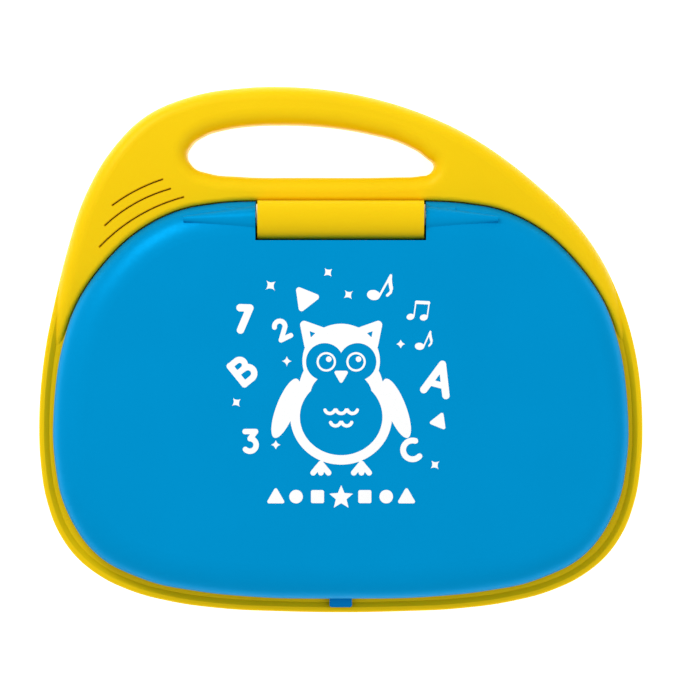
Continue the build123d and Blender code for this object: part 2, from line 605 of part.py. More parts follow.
def knuckle():
    """The right hand hinge knuckle: a tapered ridge with a round socket for the rod."""
    tip_x, tip_y, tip_z = KNUCKLE_TIP
    with BuildPart() as cone:
        with BuildSketch(rod_plane.offset(CUTOUT_HALF)):
            with Locations((KNUCKLE_CENTRE[0] - HINGE_Y, KNUCKLE_CENTRE[1] - HINGE_Z)):
                Circle(KNUCKLE_RADIUS)
        with BuildSketch(rod_plane.offset(tip_x)):
            with Locations((tip_y - HINGE_Y, tip_z - HINGE_Z)):
                Circle(KNUCKLE_TIP_RADIUS)
        loft()
        with BuildSketch(rod_plane.offset(CUTOUT_HALF)):
            Circle(SOCKET_RADIUS)
        extrude(amount=SOCKET_END - CUTOUT_HALF)
        with BuildSketch(rod_plane.offset(CUTOUT_HALF)):
            Circle(ROD_BORE)
        extrude(amount=ROD_HALF + 0.3 - CUTOUT_HALF, mode=Mode.SUBTRACT)
    return cone.part


with BuildPart() as rear_trim:
    block((-FAR, FAR), (HINGE_Y, HINGE_Y + 20), (LID_BOTTOM - 5, HINGE_Z))
    with BuildSketch(rod_plane):
        Circle(REAR_SWING)
    extrude(amount=FAR, both=True, mode=Mode.SUBTRACT)

right_knuckle = knuckle()

with BuildPart() as rod_space:
    with BuildSketch(rod_plane):
        Circle(ROD_BORE)
    extrude(amount=ROD_HALF + 0.3, both=True)

with BuildPart() as lid_outer_shell:
    add(squashed(lid_dome.part))
    add(right_knuckle)
    add(right_knuckle.mirror(Plane.YZ))
    add(rod_space.part, mode=Mode.SUBTRACT)
    add(rear_trim.part, mode=Mode.SUBTRACT)
write(lid_outer_shell.part, "lid_outer_shell")

screen_z = PANEL_BACK + WINDOW_SIZE[2]
display_z = screen_z + DISPLAY_GAP
board_z = display_z + DISPLAY_SIZE[2] + DISPLAY_GAP
display_points = [(x, SCREEN_Y + y) for x in (-DISPLAY_POSTS[0], DISPLAY_POSTS[0])
                  for y in (-DISPLAY_POSTS[1], DISPLAY_POSTS[1])]

with BuildPart() as lid_inner_panel:
    prism(lid_face(-PANEL_INSET), PANEL_RIM_BOTTOM, PANEL_STEP)
    prism(lid_face(-PANEL_INSET - PANEL_STEP_INSET), PANEL_STEP, PANEL_BACK)
    prism(lid_face(-PANEL_INSET - PANEL_RIM_WALL), PANEL_RIM_BOTTOM - 1, PANEL_FACE, Mode.SUBTRACT)
    block((-FAR, FAR), (PANEL_REAR - 2, FAR), (PANEL_RIM_BOTTOM - 1, PANEL_FACE), Mode.SUBTRACT)
    block((-CUTOUT_HALF - PANEL_INSET, CUTOUT_HALF + PANEL_INSET), (PANEL_REAR, FAR),
          (PANEL_FACE - 1, PANEL_BACK + 1), Mode.SUBTRACT)
    block((-PANEL_KNUCKLE_NOTCH[0], PANEL_KNUCKLE_NOTCH[0]), (PANEL_KNUCKLE_NOTCH[1], FAR),
          (PANEL_FACE - 1, PANEL_BACK + 1), Mode.SUBTRACT)
    discs(LID_SCREWS, CUP_RADIUS, PANEL_FACE, CUP_TOP)
    discs(LID_SCREWS, COUNTERBORE_RADIUS, PANEL_FACE - 1, CUP_SEAT, Mode.SUBTRACT)
    discs(LID_SCREWS, CLEARANCE_RADIUS, CUP_SEAT, CUP_TOP + 1, Mode.SUBTRACT)
    discs(display_points, SMALL_POST, PANEL_BACK, board_z)
    slabs([(0, SCREEN_Y)], SCREEN_OPEN, 4.0, PANEL_FACE - 1, PANEL_BACK + 1, Mode.SUBTRACT)
    slabs([(0, SCREEN_Y)], [side + 0.4 for side in WINDOW_SIZE[:2]], 0.8, PANEL_BACK, board_z,
          Mode.SUBTRACT)
    discs(display_points, PILOT_RADIUS, PANEL_BACK + 0.5, board_z + 1, Mode.SUBTRACT)
    block((-TAB_HALF, TAB_HALF), (TAB_FRONT, TAB_BACK), (TAB_BOTTOM, TAB_TOP))
    fillet(lid_inner_panel.edges().filter_by(Axis.Z).filter_by(
        lambda edge: abs(edge.center().Y - TAB_FRONT) < 0.01), 1.0)
write(lid_inner_panel.part, "lid_inner_panel")

with BuildPart() as screen_window:
    slabs([(0, SCREEN_Y)], WINDOW_SIZE[:2], 0.6, PANEL_BACK, screen_z)
write(screen_window.part, "screen_window")

with BuildPart() as display:
    slabs([(0, SCREEN_Y)], DISPLAY_SIZE[:2], 0.6, display_z, display_z + DISPLAY_SIZE[2])
write(display.part, "display")

with BuildPart() as display_board:
    slabs([(0, SCREEN_Y)], DISPLAY_BOARD[:2], 1.5, board_z, board_z + DISPLAY_BOARD[2])
    slabs([(-18, SCREEN_Y), (18, SCREEN_Y)], (12.0, 12.0), 1.0, board_z + 1, board_z + 2.6)
    discs(display_points, CLEARANCE_RADIUS, board_z - 1, board_z + 3, Mode.SUBTRACT)
write(display_board.part, "display_board")

with BuildPart() as display_screws:
    dropped_screws(display_points, board_z + DISPLAY_BOARD[2], PANEL_BACK + 0.8)
write(display_screws.part, "display_screws")

with BuildPart() as lid_screws:
    screws(LID_SCREWS, CUP_SEAT, LID_SCREW_END)
write(lid_screws.part, "lid_screws")


# ---------------------------------------------------------------- keys, buttons, switch
def letter_key(x, y):
    """A rounded square key cap with a flange that the deck holds down."""
    spread = 2 * (KEY_CLEARANCE + FLANGE)
    with BuildPart() as key:
        slabs([(x, y)], KEY_SIZE, KEY_CORNER, KEY_BOTTOM, KEY_TOP)
        fillet(key.edges().group_by(Axis.Z)[-1], KEY_ROUND)
        slabs([(x, y)], [side + spread for side in KEY_SIZE], KEY_CORNER + 1,
              KEY_BOTTOM, KEY_BOTTOM + FLANGE_THICK)
        slabs([(x, y)], [side - 2 * KEY_WALL for side in KEY_SIZE], KEY_CORNER - KEY_WALL,
              KEY_BOTTOM, KEY_TOP - KEY_ROOF, Mode.SUBTRACT)
        discs([(x, y)], POST_RADIUS, POST_BOTTOM, KEY_TOP - 1)
    return key.part


def round_button(x, y):
    """A round button, made like a letter key."""
    with BuildPart() as button:
        discs([(x, y)], BUTTON_RADIUS, KEY_BOTTOM, KEY_TOP)
        fillet(button.edges().group_by(Axis.Z)[-1], KEY_ROUND)
        discs([(x, y)], BUTTON_RADIUS + KEY_CLEARANCE + FLANGE, KEY_BOTTOM, KEY_BOTTOM + FLANGE_THICK)
        discs([(x, y)], BUTTON_RADIUS - KEY_WALL, KEY_BOTTOM, KEY_TOP - KEY_ROOF, Mode.SUBTRACT)
        discs([(x, y)], POST_RADIUS, POST_BOTTOM, KEY_TOP - 1)
    return button.part


for key_name, key_point in key_points():
    write(letter_key(*key_point), key_name)

for button_name, button_point in MODE_BUTTONS + ARROW_BUTTONS:
    write(round_button(*button_point), f"button_{button_name}")

knob_x = SWITCH_X - SWITCH_TRAVEL / 2

with BuildPart() as power_switch_knob:
    slabs([(knob_x, SWITCH_Y)], KNOB_STEM, 0.8, KNOB_BOTTOM, KNOB_SEAT)
    slabs([(knob_x, SWITCH_Y)], KNOB_CAP, 2.0, KNOB_SEAT, KNOB_TOP)
    fillet(power_switch_knob.edges().group_by(Axis.Z)[-1], 0.8)
    for groove_x in (-2.0, 0.0, 2.0):
        block((knob_x + groove_x - 0.4, knob_x + groove_x + 0.4), (SWITCH_Y - 5, SWITCH_Y + 5),
              (KNOB_TOP - 0.6, KNOB_TOP + 1), Mode.SUBTRACT)
write(power_switch_knob.part, "power_switch_knob")

with BuildPart() as power_switch:
    slabs([(SWITCH_X, SWITCH_Y)], SWITCH_BODY[:2], 0.8, BOARD_TOP, BOARD_TOP + SWITCH_BODY[2])
write(power_switch.part, "power_switch")


# ---------------------------------------------------------------- electronics
with BuildPart() as main_board:
    block((-BOARD_X, BOARD_X), (BOARD_FRONT, BOARD_REAR), (BOARD_BOTTOM, BOARD_TOP))
    discs([SOUND_CHIP], CHIP_RADIUS, BOARD_TOP, BOARD_TOP + CHIP_HEIGHT)
    discs(BOARD_POSTS, CLEARANCE_RADIUS, BOARD_BOTTOM - 1, BOARD_TOP + 1, Mode.SUBTRACT)
write(main_board.part, "main_board")

with BuildPart() as keypad_membrane:
    for half_width, front, rear in MEMBRANE_ZONES:
        block((-half_width, half_width), (front, rear), (BOARD_TOP, BOARD_TOP + MEMBRANE_THICK))
    with BuildSketch(Plane.XY.offset(BOARD_TOP + MEMBRANE_THICK)) as dome_feet:
        with Locations(*letter_points, *button_points):
            Circle(DOME_RADIUS)
    extrude(dome_feet.sketch, amount=DOME_TOP - BOARD_TOP - MEMBRANE_THICK, taper=DOME_SLOPE)
write(keypad_membrane.part, "keypad_membrane")

with BuildPart() as board_screws:
    dropped_screws(BOARD_POSTS, BOARD_TOP, BOARD_SCREW_END)
    dropped_screws(SPEAKER_POSTS, RETAINER_Z[1], SPEAKER_SCREW_END)
    screws(BARREL_SCREWS, DECK_UNDER, BARREL_SCREW_END)
write(board_screws.part, "board_screws")

with BuildPart() as speaker:
    with BuildSketch(Plane(origin=(SPEAKER_X, SPEAKER_Y, 0), x_dir=(1, 0, 0), z_dir=(0, -1, 0))):
        Polygon(
            (0, 8), (9, 8), (9, 13), (14.6, SPEAKER_SEAT), (SPEAKER_RADIUS, SPEAKER_SEAT),
            (SPEAKER_RADIUS, RETAINER_Z[0]), (15.4, RETAINER_Z[0]), (6, 15.2), (0, 16.2),
            align=None,
        )
    revolve(axis=Axis((SPEAKER_X, SPEAKER_Y, 0), (0, 0, 1)))
write(speaker.part, "speaker")

with BuildPart() as speaker_retainer:
    discs([(SPEAKER_X, SPEAKER_Y)], RETAINER_OUTER, *RETAINER_Z)
    discs(SPEAKER_POSTS, SMALL_POST + FIT_GAP, *RETAINER_Z)
    discs([(SPEAKER_X, SPEAKER_Y)], RETAINER_INNER, 0, CLEAR_OF_ALL, Mode.SUBTRACT)
    discs(SPEAKER_POSTS, CLEARANCE_RADIUS, 0, CLEAR_OF_ALL, Mode.SUBTRACT)
write(speaker_retainer.part, "speaker_retainer")


# ---------------------------------------------------------------- batteries and their door
cell_rows = [(BOX_Y + (row - 1) * CELL_PITCH, 1 if row % 2 else -1) for row in range(3)]
contact_face = BOX_HALF_X - 0.1 - CONTACT_THICK
cell_shift = contact_face - CELL_LENGTH / 2 - CELL_TIP       # each tip touches its contact
spring_length = 2 * contact_face - CELL_LENGTH - CELL_TIP

with BuildPart() as batteries:
    for cell_y, way in cell_rows:
        cell_plane = Plane(origin=(0, cell_y, CELL_Z), x_dir=(0, 1, 0), z_dir=(way, 0, 0))
        with BuildSketch(cell_plane.offset(cell_shift - CELL_LENGTH / 2)) as can:
            Circle(CELL_RADIUS)
        extrude(can.sketch, amount=CELL_LENGTH)
        with BuildSketch(cell_plane.offset(cell_shift + CELL_LENGTH / 2)) as tip:
            Circle(CELL_TIP_RADIUS)
        extrude(tip.sketch, amount=CELL_TIP)
write(batteries.part, "batteries")

with BuildPart() as battery_contacts:
    for cell_y, _ in cell_rows:
        for side in (-1, 1):
            plate_x = sorted((side * contact_face, side * (contact_face + CONTACT_THICK)))
            half_y, half_z = CONTACT_HALF
            block(plate_x, (cell_y - half_y, cell_y + half_y), (CELL_Z - half_z, CELL_Z + half_z))
write(battery_contacts.part, "battery_contacts")

with BuildPart() as battery_springs:
    for cell_y, way in cell_rows:
        spring_plane = Plane(origin=(-way * contact_face, cell_y, CELL_Z), x_dir=(0, 1, 0), z_dir=(way, 0, 0))
        turn_length = spring_length / SPRING_TURNS
        for turn in range(SPRING_TURNS):
            turn_radius = SPRING_RADIUS - turn * SPRING_TAPER
            with BuildSketch(spring_plane.offset(turn * turn_length)) as coil:
                Circle(turn_radius)
                Circle(turn_radius - SPRING_WIDTH, mode=Mode.SUBTRACT)
            extrude(coil.sketch, amount=turn_length)
write(battery_springs.part, "battery_springs")

with BuildPart() as battery_door:
    slabs([((DOOR_LEFT + DOOR_RIGHT) / 2, BOX_Y)], (DOOR_RIGHT - DOOR_LEFT, 2 * DOOR_HALF_Y), 0.5,
          BASE_BOTTOM, BASE_BOTTOM + DOOR_THICK)
    for tab_y in DOOR_TABS:
        block((DOOR_LEFT - 2.4, DOOR_LEFT + 1), (tab_y - DOOR_TAB_HALF, tab_y + DOOR_TAB_HALF), DOOR_TAB_Z)
    rib_half_x, rib_half_y = DOOR_RIB_HALF
    for rib_y, _ in cell_rows:
        block((-rib_half_x, rib_half_x), (rib_y - rib_half_y, rib_y + rib_half_y),
              (BASE_BOTTOM + DOOR_THICK, CELL_Z - CELL_RADIUS - 0.1))
    with Locations((DOOR_SCREW_X, BOX_Y, BASE_BOTTOM)):
        with Locations(Location((0, 0, 0), (180, 0, 0))):
            CounterSinkHole(CLEARANCE_RADIUS, HEAD_RADIUS, BOARD_BOTTOM, 90)
write(battery_door.part, "battery_door")

with BuildPart() as battery_door_screw:
    discs([(DOOR_SCREW_X, BOX_Y)], SCREW_RADIUS, BASE_BOTTOM + 0.2, DOOR_SCREW_END)
    with BuildSketch(Plane(origin=(DOOR_SCREW_X, BOX_Y, 0), x_dir=(1, 0, 0), z_dir=(0, -1, 0))):
        Polygon((0, BASE_BOTTOM + 0.1), (2.7, BASE_BOTTOM + 0.1), (1.3, BASE_BOTTOM + 1.5),
                (0, BASE_BOTTOM + 1.5), align=None)
    revolve(axis=Axis((DOOR_SCREW_X, BOX_Y, 0), (0, 0, 1)))
write(battery_door_screw.part, "battery_door_screw")
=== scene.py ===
"""The looks of the toy laptop: its materials, printed lid and key legends, light and camera.

Everything is in metres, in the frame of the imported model. Printed shapes are described in
millimetres, as signed distances, and laid on the surfaces that carry them.
"""

import json
import math

import bmesh
import bpy
import numpy as np
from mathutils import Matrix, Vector
from mathutils.bvhtree import BVHTree
from mathutils.geometry import delaunay_2d_cdt


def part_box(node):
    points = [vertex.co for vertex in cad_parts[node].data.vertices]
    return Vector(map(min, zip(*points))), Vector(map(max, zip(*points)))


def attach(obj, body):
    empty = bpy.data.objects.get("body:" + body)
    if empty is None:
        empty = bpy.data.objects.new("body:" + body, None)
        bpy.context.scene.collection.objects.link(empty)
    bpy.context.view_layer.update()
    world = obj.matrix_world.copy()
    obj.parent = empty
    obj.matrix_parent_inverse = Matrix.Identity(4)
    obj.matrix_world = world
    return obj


MM = 0.001
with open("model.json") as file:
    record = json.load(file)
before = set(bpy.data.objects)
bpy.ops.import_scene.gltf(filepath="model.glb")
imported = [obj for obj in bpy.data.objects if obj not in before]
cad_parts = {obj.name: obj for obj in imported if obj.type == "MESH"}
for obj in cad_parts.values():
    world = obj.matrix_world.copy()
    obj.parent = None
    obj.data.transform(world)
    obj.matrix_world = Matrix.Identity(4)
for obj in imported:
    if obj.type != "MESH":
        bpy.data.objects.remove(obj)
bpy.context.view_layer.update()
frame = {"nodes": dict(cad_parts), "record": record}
nodes = frame["nodes"]


# ---------------------------------------------------------------- node trees
NOISE_LOW, NOISE_HIGH = 0.3, 0.7                 # nearly all of a noise's values lie between these
MIX_FIRST, MIX_SECOND, MIX_RESULT = 6, 7, 2      # the places of a mix node's colour sockets


class Shader:
    """A material's node tree, with short calls for the nodes that the finishes use."""

    def __init__(self, name):
        self.material = bpy.data.materials.new(name)
        self.material.use_nodes = True
        self.tree = self.material.node_tree
        self.surface = self.tree.nodes["Principled BSDF"]
        self.place = self.tree.nodes.new("ShaderNodeTexCoord").outputs["Object"]

    def link(self, source, target):
        self.tree.links.new(source, target)

    def set(self, **values):
        """Constant values on the surface's own sockets; underscores stand for spaces."""
        for socket, value in values.items():
            self.surface.inputs[socket.replace("_", " ")].default_value = value

    def noise(self, size, detail=2.0, stretch=(1, 1, 1)):
        """Noise whose blotches are about size metres across."""
        spread = self.tree.nodes.new("ShaderNodeMapping")
        spread.inputs["Scale"].default_value = [1 / (size * part) for part in stretch]
        self.link(self.place, spread.inputs["Vector"])
        texture = self.tree.nodes.new("ShaderNodeTexNoise")
        texture.inputs["Scale"].default_value = 1.0
        texture.inputs["Detail"].default_value = detail
        self.link(spread.outputs["Vector"], texture.inputs["Vector"])
        return texture.outputs["Fac"]

    def remap(self, value, low=NOISE_LOW, high=NOISE_HIGH, out_low=0.0, out_high=1.0):
        """A value moved from one range to another, and held inside it."""
        node = self.tree.nodes.new("ShaderNodeMapRange")
        limits = {"From Min": low, "From Max": high, "To Min": out_low, "To Max": out_high}
        for socket, number in limits.items():
            node.inputs[socket].default_value = number
        self.link(value, node.inputs["Value"])
        return node.outputs["Result"]

    def mix(self, factor, first, second):
        """A colour between two colours, each a tuple or a socket. The factor is a number or a socket."""
        node = self.tree.nodes.new("ShaderNodeMix")
        node.data_type = "RGBA"
        if isinstance(factor, float):
            node.inputs["Factor"].default_value = factor
        else:
            self.link(factor, node.inputs["Factor"])
        for socket, colour in ((node.inputs[MIX_FIRST], first), (node.inputs[MIX_SECOND], second)):
            if isinstance(colour, tuple):
                socket.default_value = (*colour, 1.0)
            else:
                self.link(colour, socket)
        return node.outputs[MIX_RESULT]

    def maths(self, operation, first, second):
        """One arithmetic step on two sockets, or a socket and a number."""
        node = self.tree.nodes.new("ShaderNodeMath")
        node.operation = operation
        for socket, value in zip(node.inputs, (first, second)):
            if isinstance(value, (int, float)):
                socket.default_value = value
            else:
                self.link(value, socket)
        return node.outputs["Value"]

    def bump(self, height, depth):
        """Raises the surface by up to depth metres where height is one."""
        node = self.tree.nodes.new("ShaderNodeBump")
        node.inputs["Strength"].default_value = 1.0
        node.inputs["Distance"].default_value = depth
        self.link(height, node.inputs["Height"])
        self.link(node.outputs["Normal"], self.surface.inputs["Normal"])

    def colour(self, socket):
        self.link(socket, self.surface.inputs["Base Color"])

    def roughness(self, socket):
        self.link(socket, self.surface.inputs["Roughness"])


def linear(red, green, blue):
    """A colour given on the usual 0 to 255 display scale, as linear light, by the sRGB curve."""
    parts = [part / 255 for part in (red, green, blue)]
    return tuple(part / 12.92 if part <= 0.04045 else ((part + 0.055) / 1.055) ** 2.4 for part in parts)


def shade(colour, factor):
    """A darker or lighter version of a colour."""
    return tuple(min(1.0, part * factor) for part in colour)


# ---------------------------------------------------------------- finishes
FLECK_SHARE = 0.35           # how far the fine flecks show through the broad mottling
SCUFF_ROUGHNESS = 0.05       # how much rougher a rubbed place is
SINK_SHARE = 6.0             # how many times higher the broad waves of a moulding are than its skin


def moulded_plastic(name, colour, rough=0.32, grain=0.00035, depth=0.0000035,
                    glow=0.0, pearl=0.0, specular=0.5, tint=(1.0, 1.0, 1.0)):
    """Injection moulded plastic: flow mottling, a fine skin texture, and faint rubbed scuffs.

    grain and depth are the size and height of the skin texture. glow is how much light scatters
    inside, pearl a small metallic share, and specular and tint the strength and colour of highlights.
    """
    made = Shader(name)
    mottle = made.remap(made.noise(0.045, 3.0))
    speck = made.remap(made.noise(0.0016, 2.0), 0.35, 0.65)
    base = made.mix(mottle, shade(colour, 0.975), shade(colour, 1.02))
    fleck = made.mix(speck, shade(colour, 0.985), shade(colour, 1.0))
    made.colour(made.mix(FLECK_SHARE, base, fleck))
    rubbed = made.remap(made.noise(0.012, 4.0, (1, 3.2, 1)), 0.55, 0.75, 0.0, SCUFF_ROUGHNESS)
    skin = made.remap(made.noise(0.003, 3.0), out_low=rough - 0.03, out_high=rough + 0.04)
    made.roughness(made.maths("ADD", skin, rubbed))
    fine = made.noise(grain, 2.0)
    sink = made.maths("MULTIPLY", made.noise(0.02, 1.0), SINK_SHARE)
    made.bump(made.maths("ADD", fine, sink), depth)
    made.set(Metallic=pearl, Specular_IOR_Level=specular, Specular_Tint=(*tint, 1.0))
    if glow:
        made.set(Subsurface_Weight=glow, Subsurface_Radius=(1.0, 0.7, 0.3), Subsurface_Scale=0.002)
    return made.material


def printed_ink(name, colour):
    """Pad printed ink: matt, with the faint uneven cover of a thin layer."""
    made = Shader(name)
    cover = made.remap(made.noise(0.0012, 3.0))
    made.colour(made.mix(cover, shade(colour, 0.965), colour))
    made.roughness(made.remap(made.noise(0.0006, 2.0), out_low=0.42, out_high=0.55))
    made.bump(made.noise(0.0002, 2.0), 0.000002)
    return made.material


def brushed_metal(name, colour, rough=0.28, stretch=(12, 1, 1)):
    """Turned or drawn metal, with fine marks along its length."""
    made = Shader(name)
    marks = made.noise(0.0002, 3.0, stretch)
    made.colour(made.mix(marks, shade(colour, 0.82), colour))
    made.roughness(made.remap(marks, out_low=rough - 0.06, out_high=rough + 0.1))
    made.bump(marks, 0.000004)
    made.set(Metallic=1.0)
    return made.material


def soft_rubber(name, colour):
    """Moulded rubber: matt, finely pitted, dusty on the high spots."""
    made = Shader(name)
    dust = made.remap(made.noise(0.004, 4.0), low=0.45, out_high=0.35)
    made.colour(made.mix(dust, colour, shade(colour, 2.2)))
    made.roughness(made.remap(made.noise(0.001, 3.0), out_low=0.62, out_high=0.8))
    made.bump(made.noise(0.0003, 3.0), 0.00002)
    return made.material


TRACKS_PER_METRE = 260.0


def circuit_board(name):
    """Green solder resist over a pattern of copper tracks."""
    made = Shader(name)
    cells = made.tree.nodes.new("ShaderNodeTexVoronoi")
    cells.distance = "MANHATTAN"
    cells.inputs["Scale"].default_value = TRACKS_PER_METRE
    made.link(made.place, cells.inputs["Vector"])
    tracks = made.remap(cells.outputs["Distance"], 0.42, 0.46)
    made.colour(made.mix(tracks, linear(14, 74, 38), linear(26, 110, 58)))
    made.roughness(made.remap(made.noise(0.003, 2.0), out_low=0.25, out_high=0.4))
    made.bump(tracks, 0.00003)
    return made.material


DOT_PITCH, DOT_GAP = 0.0009, 0.00007


def display_glass(name):
    """A liquid crystal panel: grey-green, ruled into square dots."""
    made = Shader(name)
    split = made.tree.nodes.new("ShaderNodeSeparateXYZ")
    made.link(made.place, split.inputs["Vector"])
    gaps = []
    for axis in ("X", "Y"):
        ruled = made.maths("PINGPONG", split.outputs[axis], DOT_PITCH / 2)
        gaps.append(made.remap(ruled, 0.0, DOT_GAP))
    dots = made.maths("MULTIPLY", gaps[0], gaps[1])
    haze = made.remap(made.noise(0.03, 2.0))
    face = made.mix(haze, linear(146, 158, 132), linear(158, 170, 142))
    made.colour(made.mix(dots, linear(128, 140, 116), face))
    made.roughness(made.remap(haze, 0.0, 1.0, 0.18, 0.24))
    return made.material


def clear_window(name):
    """Clear polycarbonate with faint wipe marks."""
    made = Shader(name)
    wiped = made.noise(0.006, 4.0, (1, 5, 1))
    made.colour(made.mix(wiped, linear(240, 248, 250), linear(250, 253, 255)))
    made.roughness(made.remap(wiped, 0.4, 0.75, 0.03, 0.12))
    made.set(Transmission_Weight=1.0, IOR=1.58)
    return made.material


YELLOW = linear(240, 200, 8)
LID_BLUE = linear(0, 143, 203)
PANEL_BLUE = linear(0, 126, 195)

finishes = {
    "shell_yellow": moulded_plastic("yellow shell", YELLOW, rough=0.34, glow=0.12, specular=0.25,
                                    tint=(1.0, 0.85, 0.25)),
    "lid_blue": moulded_plastic("blue lid", LID_BLUE, rough=0.34, pearl=0.14, specular=0.04,
                                depth=0.000002, tint=(0.1, 0.7, 1.0)),
    "panel_blue": moulded_plastic("inner panel", PANEL_BLUE, rough=0.52, grain=0.0007, depth=0.00001,
                                  pearl=0.1, specular=0.1, tint=(0.1, 0.7, 1.0)),
    "soft_rubber": soft_rubber("black rubber", linear(38, 38, 41)),
    "screw_steel": brushed_metal("zinc plated screws", linear(190, 190, 196)),
    "rod_steel": brushed_metal("drawn rod", linear(205, 205, 208), 0.2),
    "washer_nylon": moulded_plastic("nylon washers", linear(232, 229, 218), rough=0.45),
    "switch_black": moulded_plastic("black plastic", linear(34, 34, 37), rough=0.45),
    "circuit_board": circuit_board("circuit boards"),
    "membrane_rubber": soft_rubber("keypad rubber", linear(140, 142, 148)),
    "speaker_black": soft_rubber("speaker cone", linear(34, 34, 36)),
    "cell_jacket": moulded_plastic("cell jackets", linear(44, 120, 74), rough=0.25),
    "contact_nickel": brushed_metal("nickel contacts", linear(214, 210, 200), 0.18, (1, 1, 6)),
    "clear_window": clear_window("screen window"),
    "display_glass": display_glass("display"),
    "key_white": moulded_plastic("white keys", linear(240, 239, 232), rough=0.34, glow=0.1),
    "button_green": moulded_plastic("green button", linear(88, 186, 71)),
    "button_orange": moulded_plastic("orange button", linear(245, 130, 32)),
    "button_yellow": moulded_plastic("yellow button", YELLOW),
    "button_purple": moulded_plastic("purple button", linear(134, 88, 168)),
    "knob_red": moulded_plastic("red knob", linear(222, 48, 44)),
}

slot_of = {part["node"]: part["material_slot"] for part in frame["record"]["subparts"]}
for node_name, node in nodes.items():
    node.data.materials.clear()
    node.data.materials.append(finishes[slot_of[node_name]])


# ---------------------------------------------------------------- printed shapes, as signed distances
def turned(shape, x, y, degrees=0.0, size=1.0):
    """A shape moved to x, y, turned anticlockwise and enlarged."""
    cos, sin = math.cos(math.radians(degrees)), math.sin(math.radians(degrees))

    def moved(px, py):
        dx, dy = (px - x) / size, (py - y) / size
        return shape(dx * cos + dy * sin, dy * cos - dx * sin) * size
    return moved


def both(*shapes):
    """The union of shapes."""
    return lambda x, y: np.minimum.reduce([shape(x, y) for shape in shapes])


def without(shape, *holes):
    """A shape with other shapes cut out of it."""
    return lambda x, y: np.maximum.reduce([shape(x, y)] + [-hole(x, y) for hole in holes])


def disc(x0, y0, radius):
    """A round dot."""
    return lambda x, y: np.hypot(x - x0, y - y0) - radius


def oval(x0, y0, half_width, half_height, degrees=0.0):
    """An ellipse, turned anticlockwise."""
    def plain(x, y):
        return (np.hypot(x / half_width, y / half_height) - 1) * min(half_width, half_height)
    return turned(plain, x0, y0, degrees)


FAR = 1e9


def stroke(width, *points):
    """A line of round-ended straight strokes through the points."""
    def shape(x, y):
        nearest = np.full(np.shape(x), FAR)
        for (ax, ay), (bx, by) in zip(points, points[1:]):
            length_2 = (bx - ax) ** 2 + (by - ay) ** 2
            t = np.clip(((x - ax) * (bx - ax) + (y - ay) * (by - ay)) / length_2, 0, 1)
            nearest = np.minimum(nearest, np.hypot(x - ax - t * (bx - ax), y - ay - t * (by - ay)))
        return nearest - width / 2
    return shape


BEND_STEPS = 18


def bend(width, x0, y0, radius, start, end):
    """A round-ended arc from one angle to another, in degrees."""
    angles = [math.radians(start + (end - start) * i / BEND_STEPS) for i in range(BEND_STEPS + 1)]
    return stroke(width, *[(x0 + radius * math.cos(a), y0 + radius * math.sin(a)) for a in angles])


def rounded_triangle(radius, corner):
    """A triangle that points along +X, with rounded corners."""
    def shape(x, y):
        sides = [x * math.cos(a) + y * math.sin(a) - (radius - corner) / 2
                 for a in (math.pi / 3, math.pi, -math.pi / 3)]
        outside = np.maximum.reduce(sides)
        corners = [(math.cos(a) * (radius - corner), math.sin(a) * (radius - corner))
                   for a in (0, 2 * math.pi / 3, -2 * math.pi / 3)]
        edges = stroke(0.0, *corners, corners[0])(x, y)
        return np.where(outside < 0, outside, edges) - corner
    return shape


SPARKLE_POWER = 0.56       # 1 gives straight sides, and less makes them hollow
SPARKLE_SLOPE = 0.6        # brings the field close to a distance near its outline


def sparkle(radius):
    """A four-pointed star with hollow sides."""
    def shape(x, y):
        reach = (np.abs(x) / radius) ** SPARKLE_POWER + (np.abs(y) / radius) ** SPARKLE_POWER
        return (reach - 1) * radius * SPARKLE_SLOPE
    return shape


def star(radius, inner):
    """A five-pointed star with one point up."""
    wedge = math.pi / 5
    notch_x, notch_y = inner * math.sin(wedge), inner * math.cos(wedge)
    side_x, side_y = radius - notch_y, notch_x

    def shape(x, y):
        angle = np.abs((np.arctan2(x, y) + wedge) % (2 * wedge) - wedge)
        reach = np.hypot(x, y)
        along, across = reach * np.cos(angle) - radius, reach * np.sin(angle)
        return (across * side_x + along * side_y) / math.hypot(side_x, side_y)
    return shape


def square(half, corner):
    """A square with rounded corners."""
    def shape(x, y):
        dx, dy = np.abs(x) - half + corner, np.abs(y) - half + corner
        return np.hypot(np.maximum(dx, 0), np.maximum(dy, 0)) + np.minimum(np.maximum(dx, dy), 0) - corner
    return shape


# Rounded numerals and letters, about ten units high, centred.
ONE = stroke(2.9, (-2.0, 3.2), (1.6, 4.6), (1.6, -4.8))
TWO = both(bend(2.5, -0.1, 2.3, 2.75, 165, -28), stroke(2.5, (2.35, 1.0), (-2.6, -4.4), (3.0, -4.4)))
THREE = both(stroke(2.6, (-2.6, 4.6), (2.4, 4.6), (-0.2, 1.2)), bend(2.6, -0.3, -1.8, 3.0, 80, -135))
LETTER_A = both(stroke(2.6, (-4.0, -5.0), (0, 5.2), (4.0, -5.0)), stroke(2.2, (-2.6, -2.0), (2.6, -2.0)))
LETTER_B = both(
    stroke(2.7, (-3.0, -4.8), (-3.0, 4.8)),
    stroke(2.5, (-3.0, 4.8), (0.4, 4.8)),
    bend(2.5, 0.4, 2.6, 2.2, 90, -90),
    stroke(2.4, (-3.0, 0.4), (0.9, 0.4)),
    bend(2.6, 0.9, -2.2, 2.6, 90, -90),
    stroke(2.6, (-3.0, -4.8), (0.9, -4.8)),
)
LETTER_C = bend(2.7, 0.6, 0, 4.4, 58, 302)

